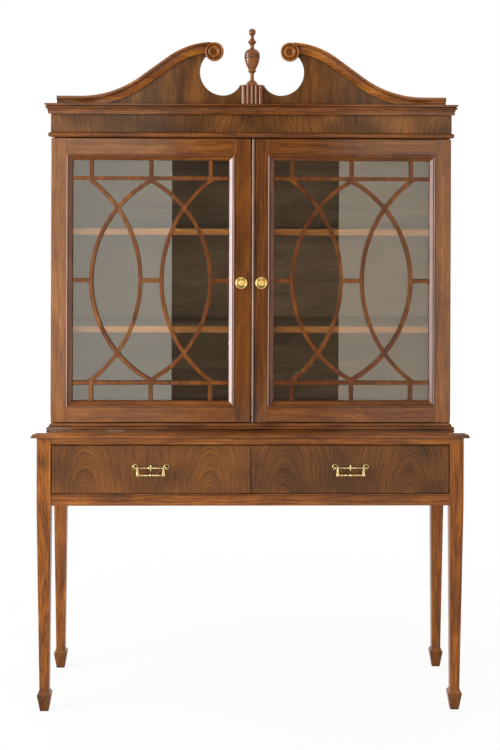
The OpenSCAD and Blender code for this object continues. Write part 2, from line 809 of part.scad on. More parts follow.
// Two sides and a back, with the bottom housed between them
module drawer_box(s) {
    high = drawer_low + drawer_side_h;
    g = glue_line;
    color(drawer_wood) side(s) {
        block([side_in_x, drawer_back_y + g, drawer_low],
            [side_in_x + drawer_side_t, drawer_end_y, high]);
        block([side_out_x - drawer_side_t, drawer_back_y + g, drawer_low],
            [side_out_x, drawer_end_y, high]);
        block([side_in_x + drawer_side_t + g, drawer_end_y - drawer_side_t, bottom_low + bottom_t],
            [side_out_x - drawer_side_t - g, drawer_end_y, high]);
    }
}

module drawer_bottom(s) {
    color(drawer_wood) side(s)
        block([side_in_x + drawer_side_t, drawer_back_y, bottom_low],
            [side_out_x - drawer_side_t, drawer_end_y, bottom_low + bottom_t]);
}

// Rosette and post at one end of a handle, bored through for the bail's pin
module handle_post() {
    difference() {
        rotate([90, 0, 0]) rotate_extrude() polygon(concat([[0, 0], [8.5, 0], [8.5, 1.2], [7.4, 2.2],
            [6, 2.4], [4, 3.6], [3.2, 5], [2.8, 8]], arc([0, handle_out], post_ball_r, -44, 90, 9)));
        pin_x(-5, 5, -handle_out, 0, bail_pin_r + pin_gap);
    }
}

// Turned ornament at the middle of the back bar, flat where it lies on the drawer
module handle_ornament() {
    difference() {
        union() {
            translate([-16, 0, 0]) rotate([0, 90, 0]) rotate_extrude()
                polygon([[0, 0], [2.6, 0], [3.4, 3], [2.4, 6], [3, 10], [4.8, 14], [5, 16],
                    [4.8, 18], [3, 22], [2.4, 26], [3.4, 29], [2.6, 32], [0, 32]]);
            translate([0, 0, -8]) rotate_extrude()
                polygon([[0, 0], [1.2, 0], [2.6, 4], [2.4, 8], [2.4, 12], [1.8, 15], [0.8, 17],
                    [0, 17]]);
        }
        block([-over, back_bar_out, -over], [over, over, over]);
    }
}

// Rosettes, posts and ornamental back bar of one handle
module handle_plate(s) {
    post_x = handle_pitch / 2;
    color(brass) translate([s * handle_x, drawer_face_y, handle_z]) {
        for (e = [-1, 1]) translate([e * post_x, 0, 0]) handle_post();
        pin_x(-post_x + 5, -15, -back_bar_out, -back_bar_drop, 2);
        pin_x(15, post_x - 5, -back_bar_out, -back_bar_drop, 2);
        translate([0, -back_bar_out, -back_bar_drop]) handle_ornament();
    }
}

// Squared bail: two arms turned out into the posts, and a turned grip between them
module bail(s) {
    post_x = handle_pitch / 2;
    color(brass) translate([s * handle_x, drawer_face_y - handle_out, handle_z]) {
        for (e = [-1, 1]) {
            translate([e * bail_arm_x - bail_t / 2, -bail_t / 2, -bail_drop - bail_t / 2])
                cube([bail_t, bail_t, bail_drop + bail_t]);
            pin_x(e > 0 ? bail_arm_x : -post_x - 2.6, e > 0 ? post_x + 2.6 : -bail_arm_x, 0, 0,
                bail_pin_r);
        }
        translate([-bail_arm_x, 0, -bail_drop]) rotate([0, 90, 0]) rotate_extrude()
            polygon([[0, 0], [2.3, 0], [2.3, 18], [3.3, 19.5], [3.3, 21], [2.4, 22.5], [2.9, 25],
                [2.3, 29], [2.6, 31], [4.6, 34], [5, 36], [4.6, 38], [2.6, 41], [2.3, 43],
                [2.9, 47], [2.4, 49.5], [3.3, 51], [3.3, 52.5], [2.3, 54], [2.3, 72], [0, 72]]);
    }
}

module drawer_left_front() drawer_front(-1);
module drawer_left_box() drawer_box(-1);
module drawer_left_bottom() drawer_bottom(-1);
module drawer_left_handle_plate() handle_plate(-1);
module drawer_left_bail() bail(-1);
module drawer_right_front() drawer_front(1);
module drawer_right_box() drawer_box(1);
module drawer_right_bottom() drawer_bottom(1);
module drawer_right_handle_plate() handle_plate(1);
module drawer_right_bail() bail(1);

stand_top();
leg_front_left();
leg_front_right();
leg_back_left();
leg_back_right();
stand_side_rail_left();
stand_side_rail_right();
stand_back_rail();
stand_rail_over_drawers();
stand_rail_under_drawers();
drawer_divider();
drawer_runners();
plinth_moulding();
carcase_bottom();
carcase_side_left();
carcase_side_right();
carcase_top();
back_panel();
frieze_bead();
frieze();
cornice();
pediment_board();
pediment_moulding_left();
pediment_moulding_right();
pediment_rosettes();
finial_block();
finial();
shelf_lower();
shelf_upper();
shelf_battens();
door_catches();
door_pivots();
door_left_hinge_stile();
door_left_meeting_stile();
door_left_rails();
door_left_sight_moulding();
door_left_glazing_bars();
door_left_glass();
door_left_pivot_sockets();
door_left_pull_plate();
door_left_pull_ring();
door_right_hinge_stile();
door_right_meeting_stile();
door_right_rails();
door_right_sight_moulding();
door_right_glazing_bars();
door_right_glass();
door_right_pivot_sockets();
door_right_pull_plate();
door_right_pull_ring();
drawer_left_front();
drawer_left_box();
drawer_left_bottom();
drawer_left_handle_plate();
drawer_left_bail();
drawer_right_front();
drawer_right_box();
drawer_right_bottom();
drawer_right_handle_plate();
drawer_right_bail();
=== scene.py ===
"""Looks of a walnut display cabinet on a two-drawer stand.

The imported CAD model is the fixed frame. Boards, mouldings, turnings and glazing bars are copies of its nodes
with eased arrises, and the brass pulls and handles are modelled here. Everything is in metres: the origin is
on the floor under the middle of the stand, +Z is up and the front faces -Y.
"""

import json
import math

import bmesh
import bpy
import numpy as np
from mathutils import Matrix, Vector


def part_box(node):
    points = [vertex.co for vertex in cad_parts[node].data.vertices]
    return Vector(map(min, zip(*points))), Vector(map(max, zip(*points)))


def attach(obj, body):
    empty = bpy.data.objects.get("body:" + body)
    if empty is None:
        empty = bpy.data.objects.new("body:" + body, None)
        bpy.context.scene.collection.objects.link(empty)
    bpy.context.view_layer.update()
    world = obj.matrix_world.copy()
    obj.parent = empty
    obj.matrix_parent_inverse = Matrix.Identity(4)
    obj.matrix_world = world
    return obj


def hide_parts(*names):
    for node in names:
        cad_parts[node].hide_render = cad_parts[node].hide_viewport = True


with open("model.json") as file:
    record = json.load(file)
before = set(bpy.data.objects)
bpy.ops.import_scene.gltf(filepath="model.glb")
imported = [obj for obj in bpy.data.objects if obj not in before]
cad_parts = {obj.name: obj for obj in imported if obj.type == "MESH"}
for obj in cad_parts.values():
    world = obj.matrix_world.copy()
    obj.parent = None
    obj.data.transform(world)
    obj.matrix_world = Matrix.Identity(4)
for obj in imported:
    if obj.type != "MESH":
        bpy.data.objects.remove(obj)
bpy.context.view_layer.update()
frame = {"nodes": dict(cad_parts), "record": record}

MM = 0.001
NODES = frame["nodes"]
RECORD = frame["record"]
BODY_OF = {node: body for body, nodes in RECORD["behaviour"]["bodies"].items() for node in nodes}
HANDS = ("left", "right")


# ---- shader helpers ----

def linear(hex_colour):
    """An sRGB hex value as the linear colour that shader sockets take."""
    srgb = [int(hex_colour[i:i + 2], 16) / 255 for i in (1, 3, 5)]
    return tuple(c / 12.92 if c <= 0.04045 else ((c + 0.055) / 1.055) ** 2.4 for c in srgb) + (1.0,)


def add(tree, kind, links=None, values=None, stops=(), **settings):
    """Adds a node with its settings, its linked inputs and its inputs' plain values, and returns it.

    A colour ramp also takes its stops, each a (place, hex colour).
    """
    node = tree.nodes.new(kind)
    for key, value in settings.items():
        setattr(node, key, value)
    for key, value in (values or {}).items():
        node.inputs[key].default_value = value
    for key, socket in (links or {}).items():
        tree.links.new(socket, node.inputs[key])
    if stops:
        elements = node.color_ramp.elements
        while len(elements) < len(stops):
            elements.new(0.5)
        for element, (place, colour) in zip(elements, stops):
            element.position = place
            element.color = linear(colour)
    return node


def new_material(name):
    """An empty node material and its tree, with the Principled surface wired up."""
    material = bpy.data.materials.new(name)
    material.use_nodes = True
    tree = material.node_tree
    tree.nodes.clear()
    surface = add(tree, "ShaderNodeBsdfPrincipled")
    add(tree, "ShaderNodeOutputMaterial", {"Surface": surface.outputs[0]})
    return material, tree, surface


def show(tree, shader):
    """Makes a shader the surface of its material, in place of the one wired up before."""
    output = next(node for node in tree.nodes if node.type == "OUTPUT_MATERIAL")
    tree.links.new(shader, output.inputs["Surface"])


def weighted_sum(tree, terms):
    """The sum of (socket, weight) terms, each taken about its middle value of a half, round a half."""
    total = None
    for socket, weight in terms:
        term = add(tree, "ShaderNodeMath", {0: socket}, {1: weight, 2: -weight / 2}, operation="MULTIPLY_ADD")
        if total is None:
            total = add(tree, "ShaderNodeMath", {0: term.outputs[0]}, {1: 0.5}, operation="ADD")
        else:
            total = add(tree, "ShaderNodeMath", {0: total.outputs[0], 1: term.outputs[0]}, operation="ADD")
    return total.outputs[0]


def product(tree, shares):
    """All the shares multiplied together, each share a socket."""
    total = shares[0]
    for share in shares[1:]:
        total = add(tree, "ShaderNodeMath", {0: total, 1: share}, operation="MULTIPLY").outputs[0]
    return total


# ---- wood ----

AXES = "xyz"
# how far through the log one whole seed moves a board, in metres
SEED_STEP = (1.7, 0.9, 2.3)
# where a wood's four tones stand between its darkest and its lightest
TONE_STOPS = (0.1, 0.38, 0.6, 0.88)
# how far the painted shade in quirks and joints looks for nearby surfaces
CREVICE_REACH_MM = 12
PORE_DEPTH_MM = 0.1
# the pale grey of polish wear, which also paints a sheen
WORN_POLISH_AND_SHEEN = "#bfb09c"
# most of the shine comes from the clear coat, so the wood under it mirrors little
WOOD_IOR = 1.2
COAT_ROUGHNESS = 0.12
VENEER_GLOSS = 0.4


def stretched(tree, vector, along, across_mm, along_mm):
    """Coordinates in which a noise of scale 1 is across_mm wide, and along_mm long on the grain's axis."""
    scale = [1 / (across_mm * MM)] * 3
    scale[AXES.index(along)] = 1 / (along_mm * MM)
    return add(tree, "ShaderNodeMapping", {"Vector": vector}, {"Scale": scale}).outputs[0]


def board_place(tree):
    """A board's coordinates, the same moved to its own part of the log, its board_seed and its board_tone."""
    place = add(tree, "ShaderNodeTexCoord").outputs["Object"]
    seed = add(tree, "ShaderNodeAttribute", attribute_name="board_seed").outputs["Fac"]
    shift = add(tree, "ShaderNodeAttribute", attribute_name="board_tone").outputs["Fac"]
    jump = add(tree, "ShaderNodeVectorMath", {"Scale": seed}, {0: SEED_STEP}, operation="SCALE").outputs[0]
    moved = add(tree, "ShaderNodeVectorMath", {0: place, 1: jump}, operation="ADD").outputs[0]
    return place, moved, seed, shift


def toned(tree, tone, shift, tones):
    """The colour of a tone with its board's shift: the dark late wood at 0, and the light early wood at 1."""
    tone = add(tree, "ShaderNodeMath", {0: tone, 1: shift}, operation="ADD").outputs[0]
    stops = list(zip(TONE_STOPS, tones))
    return add(tree, "ShaderNodeValToRGB", {"Fac": tone}, stops=stops).outputs["Color"]


def growth_bands(tree, moved, along, ring_mm):
    """A 1-D noise of the distance from a pith behind the face, which a slow noise bends."""
    slow = stretched(tree, moved, along, across_mm=70, along_mm=380)
    bend = add(tree, "ShaderNodeTexNoise", {"Vector": slow}, {"Scale": 1.0, "Detail": 3.0}).outputs["Color"]
    bent = add(tree, "ShaderNodeVectorMath", {0: bend, 2: moved}, {1: (0.05, 0.05, 0.05)},
               operation="MULTIPLY_ADD").outputs[0]
    across = [1.0, 1.0, 1.0]
    across[AXES.index(along)] = 0.05
    radial = add(tree, "ShaderNodeVectorMath", {0: bent}, {1: across}, operation="MULTIPLY").outputs[0]
    radius = add(tree, "ShaderNodeVectorMath", {0: radial}, operation="LENGTH").outputs["Value"]
    return add(tree, "ShaderNodeTexNoise", {"W": radius},
               {"Scale": 1 / (ring_mm * MM), "Detail": 3.0, "Roughness": 0.7},
               noise_dimensions="1D").outputs["Fac"]


def painted_crevice_shade(tree):
    """Painted shade: the light left to a point by an occlusion test, little in quirks, joints and gaps."""
    openness = add(tree, "ShaderNodeAmbientOcclusion", values={"Distance": CREVICE_REACH_MM * MM}, samples=4)
    return add(tree, "ShaderNodeMapRange", {"Value": openness.outputs["AO"]},
               {"From Min": 0.15, "From Max": 0.8, "To Min": 0.12, "To Max": 1.0}).outputs[0]


def darker_foot(tree, place, feet_mm):
    """The light left below about feet_mm: the wood is made darker towards the floor."""
    height = add(tree, "ShaderNodeSeparateXYZ", {0: place}).outputs["Z"]
    return add(tree, "ShaderNodeMapRange", {"Value": height},
               {"From Min": 0.5 * feet_mm * MM, "From Max": 1.1 * feet_mm * MM, "To Min": 0.62}).outputs[0]


def knot(tree, place, centre, radius_mm):
    """The light left to a small knot: a dark eye that fades out at its radius."""
    gap = add(tree, "ShaderNodeVectorMath", {0: place}, {1: centre}, operation="DISTANCE").outputs["Value"]
    return add(tree, "ShaderNodeMapRange", {"Value": gap},
               {"From Min": 0.3 * radius_mm * MM, "From Max": radius_mm * MM, "To Min": 0.35},
               interpolation_type="SMOOTHSTEP").outputs[0]


def painted_groove_shade(tree, place, height_mm):
    """The light left along a fine turned groove: a dark line about 2 mm wide, painted as the groove's shade.
    """
    height = add(tree, "ShaderNodeSeparateXYZ", {0: place}).outputs["Z"]
    gap = add(tree, "ShaderNodeMath", {0: height}, {1: height_mm * MM}, operation="SUBTRACT").outputs[0]
    gap = add(tree, "ShaderNodeMath", {0: gap}, operation="ABSOLUTE").outputs[0]
    return add(tree, "ShaderNodeMapRange", {"Value": gap},
               {"From Min": 0.7 * MM, "From Max": 1.7 * MM, "To Min": 0.05}).outputs[0]


def pale_wear_and_sheen(tree, colour, place, centre, half_size):
    """Makes a colour pale in streaks inside an ellipsoid: polish wear, and at the plinth's left end a painted
    sheen too.
    """
    away = add(tree, "ShaderNodeVectorMath", {0: place}, {1: centre}, operation="SUBTRACT").outputs[0]
    away = add(tree, "ShaderNodeVectorMath", {0: away}, {1: half_size}, operation="DIVIDE").outputs[0]
    away = add(tree, "ShaderNodeVectorMath", {0: away}, operation="LENGTH").outputs["Value"]
    streak_place = stretched(tree, place, "x", across_mm=3, along_mm=14)
    streak = add(tree, "ShaderNodeTexNoise", {"Vector": streak_place}, {"Scale": 1.0, "Detail": 2.0}).outputs["Fac"]
    pale_reach = add(tree, "ShaderNodeMath", {0: away, 1: streak}, operation="SUBTRACT").outputs[0]
    share = add(tree, "ShaderNodeMapRange", {"Value": pale_reach},
                {"From Min": 0.0, "From Max": 0.4, "To Min": 0.4, "To Max": 0.0}).outputs[0]
    return add(tree, "ShaderNodeMix", {0: share, 6: colour}, {7: linear(WORN_POLISH_AND_SHEEN)},
               data_type="RGBA").outputs[2]


def polish(tree, surface, pores, fibres, gloss, coat):
    """Shellac polish: a smooth clear coat over wood whose own gloss changes a little with its fibres.

    gloss is the roughness of the smoothest wood, and the surface dips where the noise of the pores is low.
    """
    rough = add(tree, "ShaderNodeMapRange", {"Value": fibres}, {"To Min": gloss, "To Max": gloss + 0.2})
    tree.links.new(rough.outputs[0], surface.inputs["Roughness"])
    surface.inputs["IOR"].default_value = WOOD_IOR
    surface.inputs["Coat Weight"].default_value = coat
    surface.inputs["Coat Roughness"].default_value = COAT_ROUGHNESS
    bump = add(tree, "ShaderNodeBump", {"Height": pores}, {"Strength": 0.3, "Distance": PORE_DEPTH_MM * MM})
    tree.links.new(bump.outputs[0], surface.inputs["Normal"])


def polished_wood(name, along, tones, ring_mm=9.0, streaks=0.6, cloud=0.9, coat=0.65, gloss=0.4, knots=(),
                  feet_mm=0, shaded_grooves_mm=(), pale_patches=()):
    """French-polished walnut, or plain oak, with its grain along one axis.

    The eye sees fine fibre lines over soft growth bands, a slow cloudy drift of tone, short pore dashes, and
    a coat of polish that mirrors the room softly. tones runs from the dark late wood to the light early wood.
    knots lists the (centre, radius in mm) of small knots, feet_mm how high the foot is made darker,
    shaded_grooves_mm the heights in mm of turned grooves painted dark as their shade, and pale_patches the
    (centre, half size) of pale patches of polish wear and painted sheen.
    """
    material, tree, surface = new_material(name)
    place, moved, _, shift = board_place(tree)
    bands = growth_bands(tree, moved, along, ring_mm)

    # fibres are 0.2 mm wide on real walnut, and drawn coarser so that they show
    fine = stretched(tree, moved, along, across_mm=2.4, along_mm=70)
    fibres = add(tree, "ShaderNodeTexNoise", {"Vector": fine},
                 {"Scale": 1.0, "Detail": 4.0, "Roughness": 0.7}).outputs["Fac"]
    wide = stretched(tree, moved, along, across_mm=40, along_mm=150)
    drift = add(tree, "ShaderNodeTexNoise", {"Vector": wide},
                {"Scale": 1.0, "Detail": 3.0, "Roughness": 0.6, "Distortion": 0.6}).outputs["Fac"]
    tone = weighted_sum(tree, [(bands, streaks), (fibres, 1.3 * streaks), (drift, cloud)])
    colour = toned(tree, tone, shift, tones)

    # open pores show as short dark dashes, a little coarser than real so that they show
    dashes = stretched(tree, moved, along, across_mm=1.0, along_mm=18)
    pores = add(tree, "ShaderNodeTexNoise", {"Vector": dashes}, {"Scale": 1.0, "Detail": 2.0}).outputs["Fac"]
    shares = [add(tree, "ShaderNodeMapRange", {"Value": pores},
                  {"From Min": 0.30, "From Max": 0.46, "To Min": 0.66, "To Max": 1.0}).outputs[0]]
    # painted shade in quirks, joints and gaps
    shares.append(painted_crevice_shade(tree))
    # the foot made darker towards the floor
    if feet_mm:
        shares.append(darker_foot(tree, place, feet_mm))
    shares += [knot(tree, place, centre, radius_mm) for centre, radius_mm in knots]
    # painted shade along turned grooves
    shares += [painted_groove_shade(tree, place, height_mm) for height_mm in shaded_grooves_mm]
    shaded = add(tree, "ShaderNodeVectorMath", {0: colour, "Scale": product(tree, shares)},
                 operation="SCALE").outputs[0]
    # pale patches of polish wear and painted sheen
    for centre, half_size in pale_patches:
        shaded = pale_wear_and_sheen(tree, shaded, place, centre, half_size)
    tree.links.new(shaded, surface.inputs["Base Color"])
    polish(tree, surface, pores, fibres, gloss, coat)
    return material


def crotch_veneer(name, centres, tones, figure_share=0.35, cloud=0.6, coat=0.35, wander=0.02):
    """Figured walnut veneer laid from matched leaves, on the drawer fronts and the frieze.

    The eye sees near-upright stripes in the middle that lean away to both sides, and an arched cathedral
    figure near each end. The figure is a 1-D noise of f = sqrt(d^2 + (a + t (z - h))^2). Here z is the
    height, h that of the front's middle, a how deep the cut is there and t its slope, and d is how far the
    point lies from the cathedral's axis, which is reach to either side of middle. centres is ((middle, reach,
    h), (a, t)). Both halves of the cabinet mirror each other, and a noise first moves each point by up to
    wander.
    """
    (middle, reach, height), (depth, slope) = centres
    material, tree, surface = new_material(name)
    place, moved, seed, shift = board_place(tree)
    wave = add(tree, "ShaderNodeTexNoise", {"Vector": moved}, {"Scale": 1 / (55 * MM), "Detail": 2.5})
    bent = add(tree, "ShaderNodeVectorMath", {0: wave.outputs["Color"], 2: place}, {1: (wander, 0.0, wander)},
               operation="MULTIPLY_ADD").outputs[0]
    parts = add(tree, "ShaderNodeSeparateXYZ", {0: bent})
    side = add(tree, "ShaderNodeMath", {0: parts.outputs["X"]}, operation="ABSOLUTE").outputs[0]
    past = add(tree, "ShaderNodeMath", {0: side}, {1: middle}, operation="SUBTRACT").outputs[0]
    past = add(tree, "ShaderNodeMath", {0: past}, operation="ABSOLUTE").outputs[0]
    past = add(tree, "ShaderNodeMath", {0: past}, {1: reach}, operation="SUBTRACT").outputs[0]
    rise = add(tree, "ShaderNodeMath", {0: parts.outputs["Z"]}, {1: slope, 2: depth - slope * height},
               operation="MULTIPLY_ADD").outputs[0]
    flat = add(tree, "ShaderNodeCombineXYZ", {0: past, 1: rise}).outputs[0]
    figure = add(tree, "ShaderNodeVectorMath", {0: flat}, operation="LENGTH").outputs["Value"]
    seeded = add(tree, "ShaderNodeMath", {0: figure, 1: seed}, operation="ADD").outputs[0]
    bands = add(tree, "ShaderNodeTexNoise", {"W": seeded},
                {"Scale": 1 / (6 * MM), "Detail": 4.0, "Roughness": 0.7},
                noise_dimensions="1D").outputs["Fac"]
    along_figure = add(tree, "ShaderNodeCombineXYZ", {0: seeded, 1: parts.outputs["Z"]}).outputs[0]
    fine = stretched(tree, along_figure, "y", across_mm=2.2, along_mm=60)
    fibres = add(tree, "ShaderNodeTexNoise", {"Vector": fine},
                 {"Scale": 1.0, "Detail": 3.0, "Roughness": 0.7}).outputs["Fac"]
    drift = add(tree, "ShaderNodeTexNoise", {"Vector": moved}, {"Scale": 1 / (120 * MM), "Detail": 1.0})
    tone = weighted_sum(tree, [(bands, figure_share), (fibres, 1.1), (drift.outputs["Fac"], cloud)])
    # the colour scaled down by painted shade in quirks and joints
    shaded = add(tree, "ShaderNodeVectorMath", {0: toned(tree, tone, shift, tones), "Scale": painted_crevice_shade(tree)},
                 operation="SCALE").outputs[0]
    tree.links.new(shaded, surface.inputs["Base Color"])
    polish(tree, surface, fibres, fibres, VENEER_GLOSS, coat)
    return material


# ---- brass, iron and glass ----

# the dark brown of tarnish in hollows, also painted on the ring pulls as shade
BRASS_TARNISH_AND_SHADE = "#3f3019"


def brass(name, tones, gloss=0.34, dark=0.0):
    """Lacquered cast brass, gone brown in its hollows, where hands and polish don't reach.

    An attribute of the piece says how browned each point is: tarnish in its hollows, and on the ring pulls
    also painted shade under the ring and to either side of the knuckle.
    """
    material, tree, surface = new_material(name)
    place = add(tree, "ShaderNodeTexCoord").outputs["Object"]
    cloud = add(tree, "ShaderNodeTexNoise", {"Vector": place}, {"Scale": 1 / (5 * MM), "Detail": 4.0})
    bright = add(tree, "ShaderNodeValToRGB", {"Fac": cloud.outputs["Fac"]},
                 stops=[(0.3, tones[0]), (0.5, tones[1]), (0.7, tones[2])])
    patina_and_shade = add(tree, "ShaderNodeAttribute", attribute_name="patina_and_shade").outputs["Fac"]
    dark_share = add(tree, "ShaderNodeMath", {0: patina_and_shade}, {1: dark}, operation="ADD").outputs[0]
    colour = add(tree, "ShaderNodeMix", {0: dark_share, 6: bright.outputs["Color"]}, {7: linear(BRASS_TARNISH_AND_SHADE)},
                 data_type="RGBA")
    tree.links.new(colour.outputs[2], surface.inputs["Base Color"])
    surface.inputs["Metallic"].default_value = 1.0
    rough = add(tree, "ShaderNodeMapRange", {"Value": dark_share}, {"To Min": gloss, "To Max": 0.5})
    tree.links.new(rough.outputs[0], surface.inputs["Roughness"])
    return material


def iron(name):
    """Black enamelled iron: a fine grit in its tone, and a soft shine."""
    material, tree, surface = new_material(name)
    place = add(tree, "ShaderNodeTexCoord").outputs["Object"]
    grit = add(tree, "ShaderNodeTexNoise", {"Vector": place}, {"Scale": 1 / (2 * MM), "Detail": 3.0})
    colour = add(tree, "ShaderNodeValToRGB", {"Fac": grit.outputs["Fac"]},
                 stops=[(0.3, "#2c2a28"), (0.7, "#474340")])
    tree.links.new(colour.outputs["Color"], surface.inputs["Base Color"])
    surface.inputs["Roughness"].default_value = 0.45
    return material


def window_glass(name):
    """Clear float glass: light passes straight through to what is behind, and the pane mirrors the room."""
    material, tree, surface = new_material(name)
    surface.inputs["Base Color"].default_value = linear("#f2f6f3")
    surface.inputs["Roughness"].default_value = 0.0
    surface.inputs["IOR"].default_value = 1.5
    surface.inputs["Transmission Weight"].default_value = 1.0
    clear = add(tree, "ShaderNodeBsdfTransparent")
    shadow = add(tree, "ShaderNodeLightPath").outputs["Is Shadow Ray"]
    mixed = add(tree, "ShaderNodeMixShader", {0: shadow, 1: surface.outputs[0], 2: clear.outputs[0]})
    show(tree, mixed.outputs[0])
    return material


# ---- finishes ----

DOOR_TONES = ("#4a2407", "#6e3c0c", "#884f17", "#a76d2d")
STAND_TONES = ("#46230a", "#774210", "#97571b", "#b9742b")
TRIM_TONES = ("#3e1f07", "#66370c", "#824a16", "#a06428")
INSIDE_TONES = ("#584432", "#705a45", "#7f6750", "#91775f")
VENEER_TONES = ("#2c1909", "#583515", "#77481b", "#9b622b")
BAND_TONES = ("#2c1707", "#4e2f10", "#6a411b", "#96602c")
BAR_TONES = ("#44210a", "#683712", "#88511d", "#ab7030")
SWAN_TONES = ("#4a2208", "#7c430f", "#a2611e", "#c8893c")
OAK_TONES = ("#80572f", "#a0744a", "#b3875c", "#c49a70")
EDGE_TONES = ("#7a4a22", "#8d5829", "#9b6431", "#aa723e")
# near-black tones painted on the doors' meeting edges as the shade in the gap between the doors
DOOR_GAP_SHADE_TONES = ("#140a04", "#22130a", "#2c190c", "#3a2210")
BRASS_TONES = ("#c09d58", "#d2b16e", "#e2c88a")
WORN_BRASS_TONES = ("#a8905e", "#c4ab78", "#dfcb9e")

# each knot is its centre and its radius in mm, and each pale patch its centre and half its size
RAIL_KNOTS = [((-0.09, -0.217, 0.766), 5), ((-0.118, -0.217, 0.768), 4), ((-0.51, -0.217, 0.765), 4),
              ((-0.55, -0.217, 0.765), 3.5), ((0.034, -0.217, 0.768), 4), ((0.05, -0.215, 0.606), 5)]
# pale patches on the plinth's foot: polish wear, and at its left end a painted sheen of the window light
PLINTH_WEAR_AND_SHEEN = [((-0.555, -0.2, 0.796), (0.075, 0.03, 0.009)), ((-0.385, -0.2, 0.791), (0.045, 0.03, 0.005))]
# heights in mm of the finial's two turned grooves, painted dark as their shade
FINIAL_GROOVE_SHADE_MM = (1863.0, 1856.5)
# the ((middle, reach, h), (a, t)) of crotch_veneer
DRAWER_FIGURE = ((0.282, 0.178, 0.686), (0.034, 0.36))
FRIEZE_FIGURE = ((0.31, 0.42, 1.669), (0.10, 0.6))

FINISH = {
    "door_upright": polished_wood("polished_walnut_upright", "z", DOOR_TONES),
    "door_level": polished_wood("polished_walnut_level", "x", DOOR_TONES),
    "case_deep": polished_wood("polished_walnut_deep", "y", STAND_TONES),
    "leg": polished_wood("polished_walnut_leg", "z", STAND_TONES, streaks=1.0, coat=0.4, feet_mm=90),
    "rail": polished_wood("polished_walnut_rail", "x", STAND_TONES, streaks=0.8, coat=0.5, knots=RAIL_KNOTS),
    "stand_top": polished_wood("waxed_walnut_top", "x", STAND_TONES, streaks=0.8, coat=1.0, gloss=0.2),
    "moulding": polished_wood("polished_walnut_moulding", "x", TRIM_TONES, streaks=0.9, coat=0.5),
    "plinth": polished_wood("walnut_plinth_worn_and_sheened", "x", TRIM_TONES, streaks=0.9, coat=0.5,
                            pale_patches=PLINTH_WEAR_AND_SHEEN),
    "swan": polished_wood("polished_walnut_swan_neck", "x", SWAN_TONES, streaks=0.5, coat=0.6),
    "turned": polished_wood("polished_walnut_turning", "z", SWAN_TONES, streaks=0.3, cloud=0.6, coat=0.8,
                            gloss=0.25),
    "finial": polished_wood("polished_walnut_finial", "z", SWAN_TONES, streaks=0.3, cloud=0.6, coat=0.6,
                            gloss=0.3, shaded_grooves_mm=FINIAL_GROOVE_SHADE_MM),
    "rosette": polished_wood("polished_walnut_rosette", "z", SWAN_TONES, streaks=0.3, cloud=0.5, coat=0.35),
    "sight": polished_wood("polished_walnut_sight_moulding", "z", TRIM_TONES, coat=1.0, gloss=0.3),
    "sight_level": polished_wood("polished_walnut_sight_level", "x", TRIM_TONES, coat=0.2),
    "bead_stile": polished_wood("polished_walnut_bead_stile", "z", DOOR_TONES, coat=1.0, gloss=0.3),
    "bars": polished_wood("polished_walnut_glazing_bar", "z", BAR_TONES, coat=0.25),
    "veneer": crotch_veneer("figured_walnut_veneer", DRAWER_FIGURE, VENEER_TONES),
    "frieze": crotch_veneer("figured_walnut_frieze", FRIEZE_FIGURE, BAND_TONES, figure_share=0.5, cloud=1.1,
                            coat=0.3, wander=0.028),
    "crossband": polished_wood("crossbanded_walnut_veneer", "z", BAND_TONES, ring_mm=22.0, streaks=0.42,
                               cloud=1.0, coat=0.3),
    "door_edge": polished_wood("gap_shade_door_edge", "z", DOOR_GAP_SHADE_TONES, coat=0.0, gloss=0.5),
    "inside": polished_wood("stained_inside_boards", "x", INSIDE_TONES, ring_mm=16.0, coat=0.0, gloss=0.5),
    "drawer_lining": polished_wood("planed_oak_lining", "y", OAK_TONES, coat=0.0, gloss=0.55),
    "shelf_edge": polished_wood("planed_oak_shelf_edge", "x", EDGE_TONES, coat=0.0, gloss=0.5),
    "brass": brass("lacquered_cast_brass", BRASS_TONES),
    "worn_brass": brass("worn_pale_brass", WORN_BRASS_TONES, gloss=0.26),
    "dull_brass": brass("browned_brass", BRASS_TONES, dark=0.8),
    "iron": iron("black_enamelled_iron"),
    "glass": window_glass("clear_float_glass"),
}


# ---- mesh helpers ----

# triangles within ONE_FACE_DEG are one face, edges past SHARP_DEG look sharp, those past ARRIS_DEG are eased
ONE_FACE_DEG = 0.6
SHARP_DEG = 32
ARRIS_DEG = 50


def finished(node, mesh, material):
    """Puts a mesh into the scene as a piece on its CAD node's body, with that node's finish slot."""
    piece = bpy.data.objects.new(mesh.name, mesh)
    bpy.context.scene.collection.objects.link(piece)
    mesh.materials.clear()
    mesh.materials.append(material)
    mesh.polygons.foreach_set("use_smooth", [True] * len(mesh.polygons))
    mesh.set_sharp_from_angle(angle=math.radians(SHARP_DEG))
    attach(piece, BODY_OF[node])
    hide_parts(node)
    return piece


def mark(mesh, name, values):
    """Gives a mesh a named attribute: one value for each point, or one value for all of them."""
    marks = mesh.attributes.new(name, "FLOAT", "POINT")
    marks.data.foreach_set("value", np.broadcast_to(values, len(mesh.vertices)).astype(np.float32))


